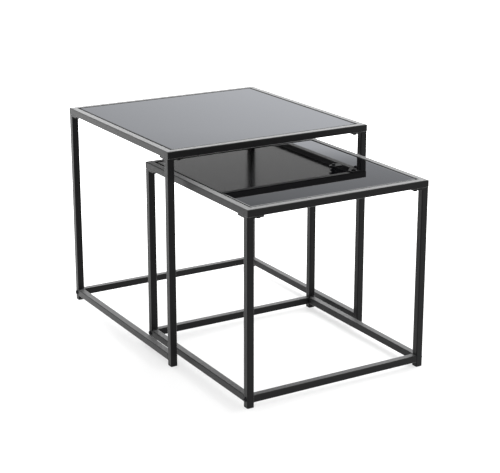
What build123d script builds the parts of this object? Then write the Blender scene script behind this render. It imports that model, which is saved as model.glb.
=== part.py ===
"""A nest of two square side tables: welded square-tube steel frames with inset black glass tops.

The large table is open at the front below its top, so the small table slides in underneath it.
Both stand on the floor; the small one is drawn partly pulled out.  +X is right, -Y is the front.
"""
from build123d import *
from dataclasses import dataclass
from math import cos, radians, sin
import os

# ---- Overall sizes, in millimetres ----
LARGE_SIDE = 510.0              # outside of the large table's square top frame
LARGE_HEIGHT = 485.0            # floor to the top of the large table's rim
NEST_SIDE_CLEARANCE = 16.5      # small table to the large one's legs, each side
NEST_TOP_CLEARANCE = 46.0       # small table's rim to the underside of the large top frame
PULL_OUT = 273.0                # how far the small table's front stands ahead of the large one's

# ---- Square tube ----
TUBE = 16.0                     # outside width of every tube
TUBE_WALL = 1.2
TUBE_CORNER = 2.0               # outside corner radius
STRETCHER_GAP = 11.0            # floor to the underside of the low stretchers

# ---- Glass top and what holds it ----
GLASS_THICKNESS = 5.0
GLASS_GAP = 3.5                 # between the glass edge and the rail, all round
GLASS_RECESS = 0.6              # glass surface below the rim
GLASS_CORNER = 3.0
GLASS_ARRIS = 0.5
TAB_THICKNESS = 2.5
TAB_WIDTH = 20.0
PAD_REACH = 20.0                # pad centre from the rail's inner face
TAB_FROM_CORNER = 80.0          # tab centre line from the outer corner
PAD_DIAMETER = 20.0
PAD_DISC = 1.6                  # thickness of the pad's disc at its edge
PAD_NECK = 9.0
PAD_STEM = 6.0
PAD_HOLE_CLEARANCE = 0.2        # stem to tab hole, on the radius
PAD_BULB = 9.0
PAD_BULB_HEIGHT = 4.5

# ---- Corner plates, which join the legs to the top frame ----
PLATE_THICKNESS = 3.0
PLATE_BOLT_FROM_LEG = 13.5      # bolt axis from the leg's face
PLATE_TIP_FROM_BOLT = 10.0      # plate's tip from the bolt axis

# ---- M6 button-head bolts, nuts and end plugs ----
BOLT_DIAMETER = 6.0
BOLT_HEAD = 10.5
BOLT_HEAD_HEIGHT = 3.3
BOLT_HEAD_FLAT = 5.2            # flat land round the socket
SOCKET_FLATS = 4.0
SOCKET_DEPTH = 2.0
HOLE_CLEARANCE = 0.25           # bolt to plain hole, on the radius
THREAD_CLEARANCE = 0.05         # bolt to threaded hole, on the radius
NUT_FLATS = 10.0
NUT_HEIGHT = 5.0
NUT_PROUD = 1.5                 # bolt end above the nut
PLUG_LENGTH = 20.0
PLUG_FIT = 0.1                  # plug to tube, each side
PLUG_BITE = 15.0                # bolt thread inside the plug

# ---- Foot caps ----
CAP_HEIGHT = 4.5                # plastic below the end of the leg
CAP_CHAMFER = 0.8
CAP_TO_BOLT = 2.5               # end of the plug to the stretcher bolt above it
CAP_RIB = 1.2                   # thickness of a rib
CAP_RIB_DEPTH = 1.1
CAP_RIB_COUNT = 3
CAP_FIT = 0.1                   # rib to tube, each side

# ---- Worked out from the sizes above ----
SMALL_SIDE = LARGE_SIDE - 2 * (TUBE + NEST_SIDE_CLEARANCE)
SMALL_HEIGHT = LARGE_HEIGHT - TUBE - NEST_TOP_CLEARANCE
BORE = TUBE - 2 * TUBE_WALL
HALF_TUBE = TUBE / 2
PLATE_BOLT = TUBE + PLATE_BOLT_FROM_LEG
PLATE_ARM = PLATE_BOLT + PLATE_TIP_FROM_BOLT
STRETCHER_Z = STRETCHER_GAP + HALF_TUBE
CAP_PLUG_LENGTH = STRETCHER_Z - BOLT_DIAMETER / 2 - CAP_TO_BOLT - CAP_HEIGHT
HOLE_RADIUS = BOLT_DIAMETER / 2 + HOLE_CLEARANCE
THREAD_RADIUS = BOLT_DIAMETER / 2 + THREAD_CLEARANCE
LARGE_FRONT_Y = (PULL_OUT - LARGE_SIDE) / 2

SIDES = {"front": 0, "right": 90, "back": 180, "left": 270}
CORNERS = {"front_left": 0, "front_right": 90, "back_right": 180, "back_left": 270}


@dataclass
class Table:
    """One table: its name, its square side, its height, its middle and its bolted stretchers."""

    name: str
    side: float
    height: float
    middle_y: float
    bolted: tuple

    @property
    def frame_z(self):
        """Underside of the top frame."""
        return self.height - TUBE

    @property
    def leg_top(self):
        """Top of the leg tubes, under the corner plates."""
        return self.frame_z - PLATE_THICKNESS

    @property
    def glass_z(self):
        """Underside of the glass."""
        return self.height - GLASS_RECESS - GLASS_THICKNESS

    def side_axes(self, angle):
        """Axes of one side: x along it, y inward, z up, from the middle of its outer face."""
        turn = radians(angle)
        half = self.side / 2
        middle = (half * sin(turn), self.middle_y - half * cos(turn), 0)
        return Plane(origin=middle, x_dir=(cos(turn), sin(turn), 0), z_dir=(0, 0, 1))

    def corner_axes(self, angle):
        """Axes of one corner: x and y run inward along its two sides, z up, from its edge."""
        axes = self.side_axes(angle)
        edge = axes.from_local_coords((-self.side / 2, 0, 0))
        return Plane(origin=edge, x_dir=axes.x_dir, z_dir=axes.z_dir)

    def bolted_corners(self):
        """Each corner where a bolted stretcher ends: its name and which way X points inward."""
        for end in self.bolted:
            yield f"{end}_left", 1
            yield f"{end}_right", -1


LARGE = Table("large", LARGE_SIDE, LARGE_HEIGHT, LARGE_FRONT_Y + LARGE_SIDE / 2, ("back",))
SMALL = Table("small", SMALL_SIDE, SMALL_HEIGHT, LARGE_FRONT_Y - PULL_OUT + SMALL_SIDE / 2, ("front", "back"))


def raised(axes, x, y, z, x_dir=None, z_dir=None):
    """A plane at a point given on another plane's axes."""
    place = axes.from_local_coords((x, y, z))
    return Plane(origin=place, x_dir=x_dir or axes.x_dir, z_dir=z_dir or axes.z_dir)


def tube_section():
    """Rounded square ring, drawn in the sketch that is open."""
    RectangleRounded(TUBE, TUBE, TUBE_CORNER)
    Rectangle(BORE, BORE, mode=Mode.SUBTRACT)


def rail(table, angle):
    """Top-frame rail: a tube mitred at both ends, with bolt holes in its underside."""
    axes = table.side_axes(angle)
    half = table.side / 2
    start = raised(axes, -half, HALF_TUBE, table.height - HALF_TUBE, axes.y_dir, axes.x_dir)
    with BuildPart() as tube:
        with BuildSketch(start):
            tube_section()
        extrude(amount=table.side)
        left_end = raised(axes, -half, 0, 0, axes.z_dir, axes.x_dir - axes.y_dir)
        right_end = raised(axes, half, 0, 0, axes.z_dir, -axes.x_dir - axes.y_dir)
        split(bisect_by=left_end, keep=Keep.TOP)
        split(bisect_by=right_end, keep=Keep.TOP)
        with BuildSketch(raised(axes, 0, HALF_TUBE, table.frame_z)):
            with Locations((PLATE_BOLT - half, 0), (half - PLATE_BOLT, 0)):
                Circle(HOLE_RADIUS)
        extrude(amount=TUBE_WALL, mode=Mode.SUBTRACT)
    return tube


def leg(table, corner):
    """Leg tube from its foot cap to its corner plate, drilled where a stretcher is bolted to it."""
    axes = table.corner_axes(CORNERS[corner])
    with BuildPart() as tube:
        with BuildSketch(raised(axes, HALF_TUBE, HALF_TUBE, CAP_HEIGHT)):
            tube_section()
        extrude(amount=table.leg_top - CAP_HEIGHT)
        if corner in dict(table.bolted_corners()):
            centre = raised(axes, HALF_TUBE, HALF_TUBE, STRETCHER_Z, Vector(0, 1, 0), Vector(1, 0, 0))
            with BuildSketch(centre):
                Circle(HOLE_RADIUS)
            extrude(amount=HALF_TUBE, both=True, mode=Mode.SUBTRACT)
    return tube


def stretcher(table, angle):
    """Low stretcher between two legs: a plain length of tube."""
    axes = table.side_axes(angle)
    length = table.side - 2 * TUBE
    start = raised(axes, -length / 2, HALF_TUBE, STRETCHER_Z, axes.y_dir, axes.x_dir)
    with BuildPart() as tube:
        with BuildSketch(start):
            tube_section()
        extrude(amount=length)
    return tube


def corner_plate(table, corner):
    """Gusset plate welded on a leg's top: a right triangle with its two tips cut to the tube's width."""
    axes = table.corner_axes(CORNERS[corner])
    with BuildPart() as plate:
        with BuildSketch(raised(axes, 0, 0, table.leg_top)) as outline:
            with BuildLine():
                Polyline(
                    (0, 0), (PLATE_ARM, 0), (PLATE_ARM, TUBE), (TUBE, PLATE_ARM), (0, PLATE_ARM), close=True
                )
            make_face()
            fillet(outline.vertices(), TUBE_CORNER)
            with Locations((PLATE_BOLT, HALF_TUBE), (HALF_TUBE, PLATE_BOLT)):
                Circle(HOLE_RADIUS, mode=Mode.SUBTRACT)
        extrude(amount=PLATE_THICKNESS)
    return plate


def foot_cap(table, corner):
    """Push-in foot: a square sole under the leg and a ribbed plug inside it."""
    axes = table.corner_axes(CORNERS[corner])
    with BuildPart() as cap:
        with BuildSketch(raised(axes, HALF_TUBE, HALF_TUBE, 0)):
            RectangleRounded(TUBE, TUBE, TUBE_CORNER)
        extrude(amount=CAP_HEIGHT)
        chamfer(cap.faces().sort_by(Axis.Z)[0].edges(), CAP_CHAMFER)
        rib_width = BORE - 2 * CAP_FIT
        core_width = rib_width - 2 * CAP_RIB_DEPTH
        with BuildSketch(raised(axes, HALF_TUBE, HALF_TUBE, CAP_HEIGHT)):
            Rectangle(core_width, core_width)
        extrude(amount=CAP_PLUG_LENGTH)
        pitch = CAP_PLUG_LENGTH / CAP_RIB_COUNT
        for rib in range(CAP_RIB_COUNT):
            rib_z = CAP_HEIGHT + (rib + 0.5) * pitch - CAP_RIB / 2
            with BuildSketch(raised(axes, HALF_TUBE, HALF_TUBE, rib_z)):
                Rectangle(rib_width, rib_width)
            extrude(amount=CAP_RIB)
    return cap


def button_bolts(seats, length):
    """Button-head bolts: each seat plane lies under a head and its z points out of the head."""
    with BuildPart() as bolts:
        for seat in seats:
            profile = Plane(origin=seat.origin, x_dir=seat.x_dir, z_dir=-seat.y_dir)
            with BuildSketch(profile):
                with BuildLine():
                    rim = (BOLT_HEAD / 2, 0)
                    land = (BOLT_HEAD_FLAT / 2, BOLT_HEAD_HEIGHT)
                    Polyline(land, (0, BOLT_HEAD_HEIGHT), (0, -length), (BOLT_DIAMETER / 2, -length))
                    Polyline((BOLT_DIAMETER / 2, -length), (BOLT_DIAMETER / 2, 0), rim)
                    RadiusArc(rim, land, -BOLT_HEAD / 2)
                make_face()
            revolve(axis=Axis(seat.origin, seat.z_dir))
            with BuildSketch(seat.offset(BOLT_HEAD_HEIGHT)):
                RegularPolygon(SOCKET_FLATS / 2, 6, major_radius=False)
            extrude(amount=-SOCKET_DEPTH, mode=Mode.SUBTRACT)
    return bolts


def plate_bolt_places(table):
    """The two bolt axes of each corner plate: planes on the floor, x along the rail above, z up."""
    for angle in CORNERS.values():
        axes = table.corner_axes(angle)
        yield raised(axes, PLATE_BOLT, HALF_TUBE, 0)
        yield raised(axes, HALF_TUBE, PLATE_BOLT, 0, x_dir=axes.y_dir)


def plate_bolts(table):
    """Bolts that pull the corner plates up against the top frame."""
    seats = [
        Plane(origin=place.offset(table.leg_top).origin, x_dir=place.x_dir, z_dir=(0, 0, -1))
        for place in plate_bolt_places(table)
    ]
    return button_bolts(seats, PLATE_THICKNESS + TUBE_WALL + NUT_HEIGHT + NUT_PROUD)


def rail_nuts(table):
    """Hexagon nuts welded inside the rails over the plate bolts, two flats facing the rail's walls."""
    with BuildPart() as nuts:
        for place in plate_bolt_places(table):
            with BuildSketch(place.offset(table.frame_z + TUBE_WALL)):
                RegularPolygon(NUT_FLATS / 2, 6, major_radius=False)
                Circle(THREAD_RADIUS, mode=Mode.SUBTRACT)
            extrude(amount=NUT_HEIGHT)
    return nuts


def stretcher_end_planes(table):
    """Planes on the outer faces of the legs that are bolted to a stretcher, with z pointing inward."""
    for corner, inward in table.bolted_corners():
        axes = table.corner_axes(CORNERS[corner])
        centre = axes.from_local_coords((HALF_TUBE, HALF_TUBE, STRETCHER_Z))
        face = centre - Vector(inward * HALF_TUBE, 0, 0)
        yield Plane(origin=face, x_dir=(0, 1, 0), z_dir=(inward, 0, 0))


def stretcher_bolts(table):
    """Bolts through the legs into the stretcher ends, heads on the legs' outer faces."""
    seats = [
        Plane(origin=face.origin, x_dir=face.x_dir, z_dir=-face.z_dir)
        for face in stretcher_end_planes(table)
    ]
    return button_bolts(seats, TUBE + PLUG_BITE)


def stretcher_plugs(table):
    """Threaded square plugs pressed into the ends of the bolted stretchers."""
    with BuildPart() as plugs:
        for face in stretcher_end_planes(table):
            with BuildSketch(face.offset(TUBE)):
                Rectangle(BORE - 2 * PLUG_FIT, BORE - 2 * PLUG_FIT)
                Circle(THREAD_RADIUS, mode=Mode.SUBTRACT)
            extrude(amount=PLUG_LENGTH)
    return plugs


def glass_top(table):
    """Tempered glass, set inside the rim with a gap all round and a fine arris on its edges."""
    width = table.side - 2 * (TUBE + GLASS_GAP)
    with BuildPart() as glass:
        with BuildSketch(Plane((0, table.middle_y, table.glass_z))):
            RectangleRounded(width, width, GLASS_CORNER)
        extrude(amount=GLASS_THICKNESS)
        ends = glass.faces().filter_by(Axis.Z)
        chamfer(ends.edges(), GLASS_ARRIS)
    return glass


def tab_axes(table):
    """Axes of each glass support: x along the side rail, y inward from the rail's inner face."""
    reach = table.side / 2 - TAB_FROM_CORNER
    for end, angle in (("left", SIDES["left"]), ("right", SIDES["right"])):
        axes = table.side_axes(angle)
        near = {"left": reach, "right": -reach}[end]
        yield f"front_{end}", raised(axes, near, TUBE, table.frame_z)
        yield f"back_{end}", raised(axes, -near, TUBE, table.frame_z)


def glass_tab(axes):
    """Support tab welded inside a rail, flush with its underside: round-ended, with a pad hole."""
    with BuildPart() as tab:
        with BuildSketch(axes):
            with Locations((0, PAD_REACH / 2)):
                Rectangle(TAB_WIDTH, PAD_REACH)
            with Locations((0, PAD_REACH)):
                Circle(TAB_WIDTH / 2)
                Circle(PAD_STEM / 2 + PAD_HOLE_CLEARANCE, mode=Mode.SUBTRACT)
        extrude(amount=TAB_THICKNESS)
    return tab


def suction_pads(table):
    """Rubber pads between tabs and glass: a disc, a neck, a stem through the tab and a bulb below."""
    rise = table.glass_z - table.frame_z
    with BuildPart() as pads:
        for _, axes in tab_axes(table):
            foot = raised(axes, 0, PAD_REACH, 0)
            profile = Plane(origin=foot.origin, x_dir=foot.x_dir, z_dir=-foot.y_dir)
            with BuildSketch(profile):
                with BuildLine():
                    Polyline(
                        (0, rise), (PAD_DIAMETER / 2, rise), (PAD_DIAMETER / 2, rise - PAD_DISC),
                        (PAD_NECK / 2, TAB_THICKNESS), (PAD_STEM / 2, TAB_THICKNESS), (PAD_STEM / 2, 0),
                        (PAD_BULB / 2, 0), (PAD_BULB / 2, -PAD_BULB_HEIGHT / 2),
                    )
                    Polyline((PAD_BULB / 2, -PAD_BULB_HEIGHT / 2), (0, -PAD_BULB_HEIGHT), (0, rise))
                make_face()
            revolve(axis=Axis(foot.origin, foot.z_dir))
    return pads


def save(built, name):
    """Label a finished piece and write it as its own STEP file."""
    built.part.label = name
    export_step(built.part, f"parts/{name}.step")


def build_table(table):
    """Every piece of one table."""
    for end, angle in SIDES.items():
        save(rail(table, angle), f"{table.name}_rail_{end}")
        if end != "front" or "front" in table.bolted:
            save(stretcher(table, angle), f"{table.name}_stretcher_{end}")
    for corner in CORNERS:
        save(leg(table, corner), f"{table.name}_leg_{corner}")
        save(corner_plate(table, corner), f"{table.name}_corner_plate_{corner}")
        save(foot_cap(table, corner), f"{table.name}_foot_cap_{corner}")
    for place, axes in tab_axes(table):
        save(glass_tab(axes), f"{table.name}_glass_tab_{place}")
    save(glass_top(table), f"{table.name}_glass_top")
    save(suction_pads(table), f"{table.name}_suction_pads")
    save(plate_bolts(table), f"{table.name}_plate_bolts")
    save(rail_nuts(table), f"{table.name}_rail_nuts")
    save(stretcher_bolts(table), f"{table.name}_stretcher_bolts")
    save(stretcher_plugs(table), f"{table.name}_stretcher_plugs")


os.makedirs("parts", exist_ok=True)
build_table(LARGE)
build_table(SMALL)
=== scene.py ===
from itertools import product
from math import cos, pi, radians, sin

import bpy
import numpy as np
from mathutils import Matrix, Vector


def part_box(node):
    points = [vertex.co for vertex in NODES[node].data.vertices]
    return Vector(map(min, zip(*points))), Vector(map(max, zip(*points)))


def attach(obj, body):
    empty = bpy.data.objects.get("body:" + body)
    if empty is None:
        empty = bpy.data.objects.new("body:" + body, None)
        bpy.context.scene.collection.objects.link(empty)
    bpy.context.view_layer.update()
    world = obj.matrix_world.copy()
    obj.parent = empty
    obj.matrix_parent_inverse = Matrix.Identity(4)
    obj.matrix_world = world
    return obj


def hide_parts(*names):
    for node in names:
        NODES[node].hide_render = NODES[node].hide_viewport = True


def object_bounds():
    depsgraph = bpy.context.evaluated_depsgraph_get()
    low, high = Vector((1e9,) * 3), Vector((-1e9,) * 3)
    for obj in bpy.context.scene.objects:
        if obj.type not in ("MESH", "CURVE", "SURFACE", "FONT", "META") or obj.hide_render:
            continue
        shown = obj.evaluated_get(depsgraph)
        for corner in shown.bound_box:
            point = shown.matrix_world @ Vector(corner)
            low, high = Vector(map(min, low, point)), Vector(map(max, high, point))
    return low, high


# Two nesting side tables: the tubes, plates, tabs, nuts and plugs are the fixed frame's own nodes.
# Made here: the glass, feet, bolts, suction pads and weld beads, every finish, and the studio.
# Lengths are in metres.

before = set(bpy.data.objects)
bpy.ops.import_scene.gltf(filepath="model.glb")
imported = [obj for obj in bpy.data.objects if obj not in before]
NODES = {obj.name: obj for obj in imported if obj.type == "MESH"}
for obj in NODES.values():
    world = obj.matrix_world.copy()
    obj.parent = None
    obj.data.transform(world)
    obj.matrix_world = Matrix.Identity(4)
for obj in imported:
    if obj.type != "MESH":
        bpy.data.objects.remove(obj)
cad_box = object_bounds()
BODIES = {"large": "large_table", "small": "small_table"}
CORNERS = ("front_left", "front_right", "back_right", "back_left")

# ---- Camera ----
VIEW_AZIMUTH = radians(-30.69)      # from the front, towards the left
VIEW_ELEVATION = radians(16.35)
VIEW_DISTANCE = 3.1987              # along the line of sight, from the middle of the object
VIEW_RIGHT = -0.0136                # the middle of the object, from the line of sight
VIEW_UP = -0.0541
LENS = 100.12
SHIFT_Y = -0.06                     # kept small, so that the object stays in frame from every side

# ---- Glass ----
GLASS_CORNER = 0.003
PENCIL_EDGE = 0.0008                # radius ground on the glass's edges
HOLD = 0.0015                       # flat rim inside a rounded edge, which keeps the flat shading flat
TOP, SIDE, BACK = 0, 1, 2           # which of the glass's three finishes a face has

# ---- Feet ----
SOLE_ROUND = 0.0011
TUBE_CORNER = 0.002
PLUG_CORE = 0.0011                  # core below the ribs' edges, each side
RIBS = 3
RIB_INSET = 0.0013                  # ribs' edges from the sole's side: the tube's wall and a little play
CORE_CORNER = 0.0006
RIB_CORNER = 0.0008
GROOVE = 0.0003                     # depth of the groove between the sole and the tube
DIMPLE = ((0.0008, 0.0005), (0.0024, 0.0005), (0.0028, 0.0001), (0.0030, 0.0))    # radius and height

# ---- Bolts ----
SHANK = 0.003
HEAD = 0.00525                      # radius of the button head
HEAD_HEIGHT = 0.0033
LAND = 0.0031
SOCKET = 0.002                      # half the hexagon's width across flats
SOCKET_DEPTH = 0.002
SOCKET_ROUND = 0.0006               # lip round the socket
DRILLED = 0.0006                    # the drill's point below the socket
CHAMFER = 0.0009                    # at the shank's end
HEAD_RIM = 0.0004                   # height of the rim under the dome
BREAK = 0.0001                      # the smallest edge break
BOLT_FROM_TIP = 0.010               # plate bolt's axis from the corner plate's tip
PLUG_BITE = 0.015                   # stretcher bolt's thread past the leg

# ---- Suction pads ----
PAD_RADIUS = 0.010
PAD_STEM = 0.003
TAB_THICKNESS = 0.0025

# ---- Weld beads ----
BEAD = 0.0022                       # leg length of the stretchers' fillets
SMALL_BEAD = 0.0018                 # and of those under the plates and along the tabs
BEAD_INSET = 0.6 * TUBE_CORNER      # a bead's end from the tube's side
RIPPLE = 0.0014                     # pitch of its ripples

SHARP_EDGE = radians(38)            # faces that meet more sharply than this are not blended


def camera():
    """Long lens from the left and a little above, aimed just over the middle of the object."""
    lowest, highest = cad_box
    middle = (lowest + highest) / 2
    flat = cos(VIEW_ELEVATION)
    sight = Vector((-sin(VIEW_AZIMUTH) * flat, cos(VIEW_AZIMUTH) * flat, -sin(VIEW_ELEVATION)))
    right = Vector((cos(VIEW_AZIMUTH), sin(VIEW_AZIMUTH), 0))
    up = right.cross(sight)
    data = bpy.data.cameras.new("camera")
    data.lens = LENS
    data.shift_y = SHIFT_Y
    data.clip_end = 200
    thing = bpy.data.objects.new("camera", data)
    thing.location = middle - sight * VIEW_DISTANCE - right * VIEW_RIGHT - up * VIEW_UP
    thing.rotation_euler = sight.to_track_quat("-Z", "Y").to_euler()
    bpy.context.scene.collection.objects.link(thing)
    bpy.context.scene.camera = thing


# ---- Materials ----
def linear(hex_colour):
    """sRGB hex colour to the linear RGBA that shaders take."""
    srgb = np.array([int(hex_colour[i:i + 2], 16) for i in (1, 3, 5)]) / 255
    value = np.where(srgb <= 0.04045, srgb / 12.92, ((srgb + 0.055) / 1.055) ** 2.4)
    return (*value.tolist(), 1.0)


def node(tree, kind, settings=None, **inputs):
    """Add a shader node with its settings. An input, named or numbered, takes a value, a socket, or
    a node, which stands for its first output."""
    made = tree.nodes.new(kind)
    for name, value in (settings or {}).items():
        setattr(made, name, value)
    for name, value in inputs.items():
        socket = made.inputs[int(name[1:]) if name[1:].isdigit() else name.replace("_", " ")]
        if isinstance(value, bpy.types.Node):
            value = value.outputs[0]
        if isinstance(value, bpy.types.NodeSocket):
            tree.links.new(value, socket)
        else:
            socket.default_value = value
    return made


RANGE = "ShaderNodeMapRange"
NOISE = "ShaderNodeTexNoise"
BUMP = "ShaderNodeBump"
MIX = "ShaderNodeMix"
COLOUR = {"data_type": "RGBA"}      # a Mix of colours: inputs 0, 6 and 7, output 2


def material(name):
    """An empty material with the object's own coordinates, in metres."""
    made = bpy.data.materials.new(name)
    made.use_nodes = True
    tree = made.node_tree
    tree.nodes.clear()
    return made, tree, node(tree, "ShaderNodeTexCoord").outputs["Object"]


def surface(tree, **inputs):
    """Finish a material with one principled shader."""
    shader = node(tree, "ShaderNodeBsdfPrincipled", **inputs)
    node(tree, "ShaderNodeOutputMaterial", Surface=shader)


def powder_coat():
    """Black polyester powder coat, baked on: satin, with a faint orange peel 4 mm across and a grain of
    fused powder that glints on faces seen at a low angle: the sheen, at its full weight, stands for
    that. The grain is really 0.2 mm, which is too fine to show, so it is drawn 2 mm across."""
    made, tree, place = material("satin_black_powder_coat")
    peel = node(tree, NOISE, Vector=place, Scale=1 / 0.004, Detail=1.0)
    grain = node(tree, NOISE, Vector=place, Scale=1 / 0.002, Detail=2.0)
    flow = node(tree, NOISE, Vector=place, Scale=1 / 0.03)
    waves = node(tree, BUMP, Height=peel, Strength=0.6, Distance=0.00008)
    glints = node(tree, BUMP, Height=grain, Strength=0.8, Distance=0.00006, Normal=waves)
    black = node(tree, MIX, COLOUR, i0=flow, i6=linear("#040405"), i7=linear("#080809"))
    gloss = node(tree, RANGE, Value=grain, From_Min=0.3, From_Max=0.7, To_Min=0.36, To_Max=0.5)
    surface(
        tree, Base_Color=black.outputs[2], Roughness=gloss, IOR=1.25, Normal=glints, Sheen_Weight=1.0,
        Sheen_Roughness=0.3,
    )
    return made


def polished_glass():
    """Tempered float glass, painted behind: a near-perfect mirror at a low angle. Tempering leaves
    waves some 60 mm long, so shallow that only straight reflections show them."""
    made, tree, place = material("back_painted_glass")
    waves = node(tree, NOISE, Vector=place, Scale=1 / 0.06, Detail=0.0)
    bent = node(tree, BUMP, Height=waves, Strength=0.1, Distance=0.00004)
    surface(tree, Base_Color=linear("#040405"), Roughness=0.015, IOR=1.52, Normal=bent)
    return made


def glass_edge():
    """Edge of the glass, ground and polished: satin, dark bottle green where it is looked through, with
    the wheel's marks about 0.6 mm apart."""
    made, tree, place = material("ground_glass_edge")
    depth = node(tree, NOISE, Vector=place, Scale=1 / 0.004)
    marks = node(tree, NOISE, Vector=place, Scale=1 / 0.0006)
    ground = node(tree, BUMP, Height=marks, Strength=0.2, Distance=0.00001)
    green = node(tree, MIX, COLOUR, i0=depth, i6=linear("#0b0e0d"), i7=linear("#1a211e"))
    surface(tree, Base_Color=green.outputs[2], Roughness=0.55, IOR=1.4, Normal=ground)
    return made


def back_enamel():
    """Black enamel rolled and fired on the back of the glass: glossy, with a roller's texture about
    2 mm across that softens what it mirrors."""
    made, tree, place = material("fired_black_enamel")
    rolled = node(tree, NOISE, Vector=place, Scale=1 / 0.002)
    texture = node(tree, BUMP, Height=rolled, Strength=0.2, Distance=0.00003)
    gloss = node(tree, RANGE, Value=rolled, From_Min=0.3, From_Max=0.7, To_Min=0.1, To_Max=0.18)
    surface(tree, Base_Color=linear("#060606"), Roughness=gloss, IOR=1.25, Normal=texture)
    return made


def moulded_plastic():
    """Black polyethylene, injection-moulded in a spark-eroded tool: dull, with a texture 0.5 mm across."""
    made, tree, place = material("moulded_black_polyethylene")
    eroded = node(tree, NOISE, Vector=place, Scale=1 / 0.0005)
    cloud = node(tree, NOISE, Vector=place, Scale=1 / 0.003)
    texture = node(tree, BUMP, Height=eroded, Strength=0.5, Distance=0.00004)
    black = node(tree, MIX, COLOUR, i0=cloud, i6=linear("#060607"), i7=linear("#0d0d0e"))
    surface(tree, Base_Color=black.outputs[2], Roughness=0.42, IOR=1.3, Normal=texture)
    return made


def soft_pvc():
    """Soft smoky PVC, moulded: smooth and a little see-through, with oily patches about 2 mm across."""
    made, tree, place = material("soft_smoky_pvc")
    cloud = node(tree, NOISE, Vector=place, Scale=1 / 0.004)
    oil = node(tree, NOISE, Vector=place, Scale=1 / 0.002)
    smoke = node(tree, MIX, COLOUR, i0=cloud, i6=linear("#1a1b1d"), i7=linear("#26282a"))
    gloss = node(tree, RANGE, Value=oil, From_Min=0.3, From_Max=0.7, To_Min=0.2, To_Max=0.32)
    surface(
        tree, Base_Color=smoke.outputs[2], Roughness=gloss, IOR=1.52, Subsurface_Weight=0.15,
        Subsurface_Radius=(0.002, 0.002, 0.002),
    )
    return made


def black_oxide():
    """Steel blackened in hot salts: a thin oxide that keeps the metal's shine, patchy over 1.5 mm."""
    made, tree, place = material("blackened_steel")
    patches = node(tree, NOISE, Vector=place, Scale=1 / 0.0015)
    oxide = node(tree, MIX, COLOUR, i0=patches, i6=linear("#19191b"), i7=linear("#29292c"))
    gloss = node(tree, RANGE, Value=patches, From_Min=0.3, From_Max=0.7, To_Min=0.26, To_Max=0.4)
    surface(tree, Base_Color=oxide.outputs[2], Metallic=1.0, Roughness=gloss)
    return made


def zinc_plate():
    """Steel plated with bright zinc in a barrel: pale metal, clouded over 2 mm where parts rubbed."""
    made, tree, place = material("barrel_plated_zinc")
    cloud = node(tree, NOISE, Vector=place, Scale=1 / 0.002)
    zinc = node(tree, MIX, COLOUR, i0=cloud, i6=linear("#a4a8ac"), i7=linear("#c6c9cb"))
    gloss = node(tree, RANGE, Value=cloud, From_Min=0.3, From_Max=0.7, To_Min=0.24, To_Max=0.38)
    surface(tree, Base_Color=zinc.outputs[2], Metallic=1.0, Roughness=gloss)
    return made


# ---- Surfaces ----
def square_rings(half, corner, height, steps=6):
    """Level rings round the Z axis. Each is a square with quarter-circle corners: a point is the
    corner arc's centre plus the arc's radius along its angle. A corner as large as half is a circle."""
    half, corner, height = (np.asarray(value, float)[:, None] for value in (half, corner, height))
    quarter = np.arange(4).repeat(steps + 1)
    angle = quarter * pi / 2 + np.tile(np.linspace(0, pi / 2, steps + 1), 4)
    across = (half - corner) * np.array([1, -1, -1, 1])[quarter] + corner * np.cos(angle)
    along = (half - corner) * np.array([1, 1, -1, -1])[quarter] + corner * np.sin(angle)
    return np.stack([across, along, np.broadcast_to(height, across.shape)], -1)


def turned_rings(radius, height, hexagon=0.0, around=48):
    """Level rings round the Z axis, as turned on a lathe. Where hexagon is 1 the ring is a hexagon
    and radius is half its width across flats: the radius over the cosine from the nearest flat."""
    radius, height = (np.asarray(value, float)[:, None] for value in (radius, height))
    hexagon = np.broadcast_to(np.asarray(hexagon, float), radius.shape[:1])[:, None]
    angle = np.linspace(0, 2 * pi, around, endpoint=False)
    from_flat = (angle + pi / 6) % (pi / 3) - pi / 6
    reach = radius * (1 - hexagon + hexagon / np.cos(from_flat))
    return np.stack([reach * np.cos(angle), reach * np.sin(angle), np.broadcast_to(height, reach.shape)], -1)


def softened(points, rounds=2):
    """Corner cutting: each line between two points keeps its middle half, so corners turn to curves."""
    points = np.asarray(points, float)
    for _ in range(rounds):
        here, there = points[:-1], points[1:]
        cut = np.stack([0.75 * here + 0.25 * there, 0.25 * here + 0.75 * there], 1)
        points = np.concatenate([points[:1], cut.reshape(-1, points.shape[1]), points[-1:]])
    return points


def skin(rings):
    """Closed shell over rings: four-sided faces between neighbours and one flat face over each end."""
    count, around = rings.shape[:2]
    index = np.arange(count * around).reshape(count, around)
    here, there = index[:-1], index[1:]
    sides = np.stack([here, np.roll(here, -1, 1), np.roll(there, -1, 1), there], -1).reshape(-1, 4)
    return rings.reshape(-1, 3), [*sides.tolist(), index[0][::-1].tolist(), index[-1].tolist()]


def placed(shell, origin, x_axis=(1, 0, 0), z_axis=(0, 0, 1)):
    """A shell made round the Z axis, moved to an origin and turned to other x and z axes."""
    points, faces = shell
    axes = np.array([x_axis, np.cross(z_axis, x_axis), z_axis], float)
    return points @ axes + np.asarray(origin, float), faces


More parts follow.
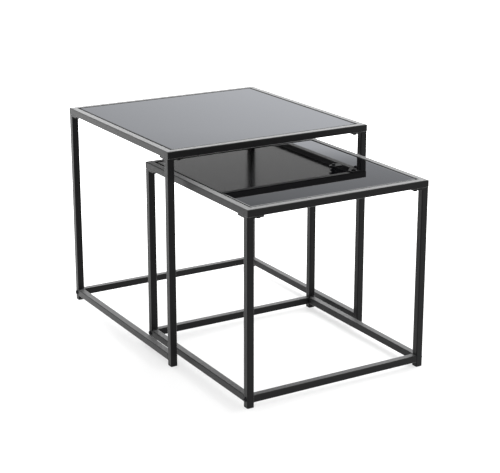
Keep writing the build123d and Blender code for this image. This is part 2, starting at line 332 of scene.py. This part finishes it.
def piece(name, shells, finishes, body, replaced=(), finish_of=None):
    """One object from several shells, shaded smooth except over sharp edges, riding on its body."""
    starts = np.cumsum([0, *(len(points) for points, _ in shells)])
    points = np.concatenate([points for points, _ in shells])
    faces = [[start + i for i in face] for start, (_, own) in zip(starts, shells) for face in own]
    mesh = bpy.data.meshes.new(name)
    mesh.from_pydata(points.tolist(), [], faces)
    for finish in finishes:
        mesh.materials.append(finish)
    if finish_of is not None:
        mesh.polygons.foreach_set("material_index", np.tile(finish_of, len(shells)).astype(np.int32))
    mesh.shade_smooth()
    mesh.set_sharp_from_angle(angle=SHARP_EDGE)
    mesh.validate()
    thing = bpy.data.objects.new(name, mesh)
    bpy.context.scene.collection.objects.link(thing)
    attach(thing, body)
    if replaced:
        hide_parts(*replaced)


# ---- Pieces ----
def edge_arc(count=6):
    """Sine and cosine of a quarter turn in even steps."""
    angle = np.linspace(0, pi / 2, count)
    return np.sin(angle), np.cos(angle)


def glass(table):
    """Glass top: level rounded-square rings from the middle of its underside, out round a pencil edge
    (two quarter circles with a straight land between them) and back in over the top."""
    lowest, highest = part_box(f"{table}_glass_top")
    middle = (lowest + highest) / 2
    half = (highest.x - lowest.x) / 2
    rise, run = edge_arc()
    out = half - PENCIL_EDGE
    halves = np.concatenate([[out - HOLD], out + PENCIL_EDGE * rise, out + PENCIL_EDGE * run, [out - HOLD]])
    under = lowest.z + PENCIL_EDGE * (1 - run)
    over = highest.z - PENCIL_EDGE * (1 - rise)
    heights = np.concatenate([[lowest.z], under, over, [highest.z]])
    rings = square_rings(halves, GLASS_CORNER - (half - halves), heights, steps=8)
    around = rings.shape[1]
    bands = len(rings) - 1
    finish_of = np.full(bands * around + 2, SIDE)
    finish_of[:around] = BACK
    finish_of[(bands - 1) * around:] = TOP
    finish_of[-2] = BACK
    piece(
        f"{table}_glass", [placed(skin(rings), (middle.x, middle.y, 0))], [GLASS, EDGE, ENAMEL],
        BODIES[table], [f"{table}_glass_top"], finish_of,
    )


def foot(table, corner):
    """Push-in foot: rings from a round dimple in the sole, out to the square sole's soft edge, up its
    side to a fine groove under the tube, and up the ribbed plug inside the tube."""
    cap = f"{table}_foot_cap_{corner}"
    lowest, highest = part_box(cap)
    tube_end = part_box(f"{table}_leg_{corner}")[0].z
    half = (highest.x - lowest.x) / 2
    rise, run = edge_arc(5)
    side = half - SOLE_ROUND + SOLE_ROUND * rise
    profile = [(radius, radius, height) for radius, height in DIMPLE]
    profile += list(zip(side, TUBE_CORNER - half + side, SOLE_ROUND * (1 - run)))
    profile += [
        (half, TUBE_CORNER, tube_end - 0.0005), (half - GROOVE, TUBE_CORNER, tube_end - 0.0002),
        (half - GROOVE, TUBE_CORNER, tube_end),
    ]
    rib_half = half - RIB_INSET
    core = rib_half - PLUG_CORE
    pitch = (highest.z - tube_end) / RIBS
    profile.append((core, CORE_CORNER, tube_end))
    for rib in range(RIBS):
        base = tube_end + rib * pitch
        profile += [
            (core, CORE_CORNER, base + 0.3 * pitch), (rib_half, RIB_CORNER, base + 0.4 * pitch),
            (rib_half - 0.0002, RIB_CORNER, base + 0.6 * pitch), (core, CORE_CORNER, base + 0.9 * pitch),
        ]
    profile.append((core, CORE_CORNER, highest.z))
    halves, corners, heights = np.array(profile).T
    middle = (lowest + highest) / 2
    shell = placed(skin(square_rings(halves, corners, heights)), (middle.x, middle.y, lowest.z))
    piece(f"{table}_foot_{corner}", [shell], [PLASTIC], BODIES[table], [cap])


def bolt(length):
    """Button-head bolt with its seat at zero: up the turned shank, out under the head, over its dome
    (an ellipse's quarter), in across the land and down a hexagon socket with a drilled bottom."""
    rise, run = edge_arc(8)
    dome = [
        (LAND + (HEAD - LAND) * across, HEAD_RIM + (HEAD_HEIGHT - HEAD_RIM) * up, 0)
        for up, across in zip(rise, run)
    ]
    floor_height = HEAD_HEIGHT - SOCKET_DEPTH
    profile = np.array([
        (SHANK - CHAMFER, -length, 0), (SHANK, -length + CHAMFER, 0), (SHANK, 0, 0), (HEAD - BREAK, 0, 0),
        (HEAD, BREAK, 0), *dome, (SOCKET + SOCKET_ROUND, HEAD_HEIGHT, 0), (SOCKET + BREAK, HEAD_HEIGHT, 1),
        (SOCKET, HEAD_HEIGHT - BREAK, 1), (SOCKET, floor_height, 1), (SOCKET * 0.9, floor_height, 0),
        (SOCKET * 0.2, floor_height - DRILLED, 0),
    ])
    return skin(turned_rings(*profile.T))


def plate_bolts(table):
    """Two bolts up through each corner plate, each a set distance in from one of the plate's tips."""
    lowest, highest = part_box(f"{table}_plate_bolts")
    length = highest.z - lowest.z - HEAD_HEIGHT
    middle = sum(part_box(f"{table}_glass_top"), Vector()) / 2
    shells = []
    for corner in CORNERS:
        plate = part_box(f"{table}_corner_plate_{corner}")
        leg = sum(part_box(f"{table}_leg_{corner}"), Vector()) / 2
        inward = np.sign([middle.x - leg.x, middle.y - leg.y])
        tips = [plate[int(way > 0)][axis] - way * BOLT_FROM_TIP for axis, way in enumerate(inward)]
        for x, y in ((tips[0], leg.y), (leg.x, tips[1])):
            shells.append(placed(bolt(length), (x, y, plate[0].z), z_axis=(0, 0, -1)))
    piece(
        f"{table}_button_bolts", shells, [OXIDE], BODIES[table], [f"{table}_plate_bolts"]
    )


def stretcher_bolts(table, ends):
    """A bolt in from each leg's outer side face, in line with the stretcher that it holds."""
    shells = []
    for end in ends:
        line = sum(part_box(f"{table}_stretcher_{end}"), Vector()) / 2
        for side, way in (("left", -1), ("right", 1)):
            low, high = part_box(f"{table}_leg_{end}_{side}")
            leg = (low, high)[int(way > 0)].x
            length = high.x - low.x + PLUG_BITE
            shells.append(placed(bolt(length), (leg, line.y, line.z), (0, 1, 0), (way, 0, 0)))
    piece(
        f"{table}_side_bolts", shells, [OXIDE], BODIES[table], [f"{table}_stretcher_bolts"]
    )


def suction_pads(table):
    """Four pads turned from one softened profile: the bulb under the tab, the stem through it, the neck
    and the thin flared disc whose lip lies against the glass, hollowed like a cup on top."""
    lowest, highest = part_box(f"{table}_suction_pads")
    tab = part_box(f"{table}_glass_tab_front_left")[0].z
    top = highest.z
    profile = [
        (0.0002, lowest.z), (0.0028, lowest.z), (0.0045, lowest.z + 0.0018), (0.0045, tab - 0.0002),
        (0.0036, tab), (PAD_STEM, tab), (PAD_STEM, tab + TAB_THICKNESS), (0.0044, tab + TAB_THICKNESS),
        (0.0048, tab + TAB_THICKNESS + 0.0008), (0.0046, top - 0.0034), (0.0066, top - 0.0022),
        (0.0096, top - 0.0014), (PAD_RADIUS, top - 0.0004), (PAD_RADIUS, top), (0.0092, top - 0.0001),
        (0.0070, top - 0.0006), (0.0030, top - 0.0009), (0.0002, top - 0.0009),
    ]
    radii, heights = softened(profile).T
    shell = skin(turned_rings(radii, heights, around=40))
    across = lowest.x + PAD_RADIUS, highest.x - PAD_RADIUS
    along = lowest.y + PAD_RADIUS, highest.y - PAD_RADIUS
    shells = [placed(shell, (x, y, 0)) for x, y in product(across, along)]
    piece(f"{table}_glass_pads", shells, [PVC], BODIES[table], [f"{table}_suction_pads"])


def weld(start, end, wall_a, wall_b, size=BEAD):
    """Fillet bead from start to end in the corner between two walls. Its section runs from one wall to
    the other along a slightly swollen arc; its size ripples as a sine and falls off at both ends."""
    start, end, wall_a, wall_b = (np.asarray(value, float) for value in (start, end, wall_a, wall_b))
    length = np.linalg.norm(end - start)
    steps = int(length / RIPPLE * 6) + 1
    along = np.linspace(0, 1, steps)
    from_end = np.minimum(along, 1 - along) * length
    fade = np.sqrt(np.clip(from_end / (0.8 * size), 0, 1))
    swell = size * (0.35 + 0.65 * fade) * (1 + 0.07 * np.sin(2 * pi * along * length / RIPPLE))
    turn = np.linspace(0, pi / 2, 7)
    bulge = 0.72 + 0.28 * np.abs(np.cos(2 * turn))
    section = np.concatenate([np.zeros((1, 2)), np.stack([np.cos(turn) * bulge, np.sin(turn) * bulge], -1)])
    sunk = section - 0.08
    line = start + along[:, None] * (end - start)
    offset = sunk[:, :1] * wall_a + sunk[:, 1:] * wall_b
    rings = line[:, None, :] + swell[:, None, None] * offset
    if np.dot(np.cross(wall_a, wall_b), end - start) < 0:
        rings = rings[:, ::-1]
    return skin(rings)


def weld_beads(table):
    """Beads over and under each end of the side stretchers, under each corner plate on the leg's two
    inner faces, and along the root of each glass tab."""
    shells = []
    middle = sum(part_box(f"{table}_glass_top"), Vector()) / 2
    for side in ("left", "right"):
        low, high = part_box(f"{table}_stretcher_{side}")
        for y, way in ((low.y, 1), (high.y, -1)):
            for z, up in ((high.z, 1), (low.z, -1)):
                start, end = (low.x + BEAD_INSET, y, z), (high.x - BEAD_INSET, y, z)
                shells.append(weld(start, end, (0, way, 0), (0, 0, up)))
    for corner in CORNERS:
        low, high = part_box(f"{table}_leg_{corner}")
        centre = (low + high) / 2
        x_way, y_way = np.sign([middle.x - centre.x, middle.y - centre.y])
        x_face = (low, high)[int(x_way > 0)].x
        y_face = (low, high)[int(y_way > 0)].y
        top = high.z
        start, end = (x_face, low.y + BEAD_INSET, top), (x_face, high.y - BEAD_INSET, top)
        shells.append(weld(start, end, (x_way, 0, 0), (0, 0, -1), SMALL_BEAD))
        start, end = (low.x + BEAD_INSET, y_face, top), (high.x - BEAD_INSET, y_face, top)
        shells.append(weld(start, end, (0, y_way, 0), (0, 0, -1), SMALL_BEAD))
    for corner in CORNERS:
        low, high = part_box(f"{table}_glass_tab_{corner}")
        way = 1 if corner.endswith("left") else -1
        root = (low if way > 0 else high).x
        start, end = (root, low.y, high.z), (root, high.y, high.z)
        shells.append(weld(start, end, (way, 0, 0), (0, 0, 1), SMALL_BEAD))
    piece(f"{table}_weld_beads", shells, [COAT], BODIES[table])


# ---- Studio ----
# The surroundings' lights: tint, brightness at each elevation in degrees, and the share left on the
# shaded side, with the dot products with the lit side's direction where the change starts and ends
LIT_SIDE = 60.0                     # azimuth, from the back towards the right
GLOW = (1, 1, 1), ((0.0, 1.2), (9.0, 1.2), (11.0, 0.0)), 1.0, (0.0, 1.0)
BACKDROP = (
    (0.96, 0.985, 1.04),
    (
        (9, 0.0), (11, 1.55), (13.2, 1.55), (13.9, 1.48), (14.5, 0.84), (16.1, 0.63), (16.8, 0.42),
        (18, 0.3), (22, 0.0),
    ),
    0.42, (0.66, 0.96),
)
PANELS = (1, 1, 1), ((17.5, 0.0), (20, 4.0), (45, 4.0), (55, 0.0)), 0.3, (-0.3, 0.6)
CEILING = (1, 1, 1), ((45.0, 0.0), (55.0, 1.2), (90.0, 1.2)), 1.0, (0.0, 1.0)
FLOOR = "#828282"
FLOOR_GLOW = ((-1.8, 0.3), (-0.5, 0.66), (0.1, 0.66), (1.3, 1.8))   # painted light: the floor's own glow, dimmer in front and brighter behind, at each y in metres


def stepped(tree, value, marks):
    """Amount that follows marks of value and amount: the first amount, plus one ramp for each step."""
    total = marks[0][1]
    for (low, before), (high, after) in zip(marks, marks[1:]):
        ramp = node(tree, RANGE, Value=value, From_Min=low, From_Max=high, To_Min=0.0, To_Max=after - before)
        total = node(tree, "ShaderNodeMath", {"operation": "ADD"}, i0=total, i1=ramp)
    return total


def sky():
    """World light: each light's level follows the sine of the elevation, times its share for the azimuth."""
    world = bpy.data.worlds.new("studio")
    bpy.context.scene.world = world
    world.use_nodes = True
    tree = world.node_tree
    tree.nodes.clear()
    direction = node(tree, "ShaderNodeTexCoord").outputs["Generated"]
    height = node(tree, "ShaderNodeSeparateXYZ", Vector=direction).outputs["Z"]
    towards = (sin(radians(LIT_SIDE)), cos(radians(LIT_SIDE)), 0)
    facing = node(tree, "ShaderNodeVectorMath", {"operation": "DOT_PRODUCT"}, i0=direction, i1=towards)
    total = None
    for tint, marks, shaded, (shade_end, lit_end) in (GLOW, BACKDROP, PANELS, CEILING):
        level = stepped(tree, height, [(sin(radians(elevation)), amount) for elevation, amount in marks])
        share = node(
            tree, RANGE, {"interpolation_type": "SMOOTHSTEP"}, Value=facing.outputs["Value"],
            From_Min=shade_end, From_Max=lit_end, To_Min=shaded, To_Max=1.0,
        )
        level = node(tree, "ShaderNodeMath", {"operation": "MULTIPLY"}, i0=level, i1=share)
        light = node(tree, "ShaderNodeBackground", Color=(*tint, 1), Strength=level)
        total = light if total is None else node(tree, "ShaderNodeAddShader", i0=total, i1=light)
    node(tree, "ShaderNodeOutputWorld", Surface=total)


def softbox(name, azimuth, elevation, distance, size, power):
    """A square lamp that faces the middle of the floor."""
    light = bpy.data.lights.new(name, "AREA")
    light.shape = "SQUARE"
    light.size = size
    light.energy = power
    lamp = bpy.data.objects.new(name, light)
    turn, lift = radians(azimuth), radians(elevation)
    lamp.location = Vector((sin(turn) * cos(lift), cos(turn) * cos(lift), sin(lift))) * distance
    lamp.rotation_euler = lamp.location.to_track_quat("Z", "Y").to_euler()
    bpy.context.scene.collection.objects.link(lamp)


def floor():
    """One large square of pale matt floor with a painted glow of its own, dimmer in front and brighter
    towards the back, that keeps shadows on it faint.
    """
    reach = 40.0
    mesh = bpy.data.meshes.new("floor")
    corners = [(-reach, -reach, 0), (reach, -reach, 0), (reach, reach, 0), (-reach, reach, 0)]
    mesh.from_pydata(corners, [], [(0, 1, 2, 3)])
    ground = bpy.data.objects.new("floor", mesh)
    bpy.context.scene.collection.objects.link(ground)
    made, tree, place = material("pale_floor_painted_glow")
    # painted light: the glow that the floor gives off, set by its y
    glow = stepped(tree, node(tree, "ShaderNodeSeparateXYZ", Vector=place).outputs["Y"], FLOOR_GLOW)
    surface(
        tree, Base_Color=linear(FLOOR), Roughness=0.7, Emission_Color=(1, 1, 1, 1), Emission_Strength=glow,
    )
    mesh.materials.append(made)


def studio():
    """Pale floor, soft surroundings and one large soft lamp from the right."""
    bpy.context.scene.view_settings.view_transform = "Standard"
    sky()
    floor()
    softbox("main_softbox", 80, 52, 3.0, 2.0, 120)


# ---- Build ----
COAT = powder_coat()
GLASS = polished_glass()
EDGE = glass_edge()
ENAMEL = back_enamel()
PLASTIC = moulded_plastic()
PVC = soft_pvc()
OXIDE = black_oxide()
ZINC = zinc_plate()


def dress_nodes():
    """Give the frame's own nodes their finishes."""
    for name, thing in NODES.items():
        finish = ZINC if "rail_nuts" in name else PLASTIC if "plugs" in name else COAT
        thing.data.materials.clear()
        thing.data.materials.append(finish)


camera()
studio()
dress_nodes()
for table, bolted in (("large", ["back"]), ("small", ["front", "back"])):
    glass(table)
    for corner in CORNERS:
        foot(table, corner)
    plate_bolts(table)
    stretcher_bolts(table, bolted)
    suction_pads(table)
    weld_beads(table)
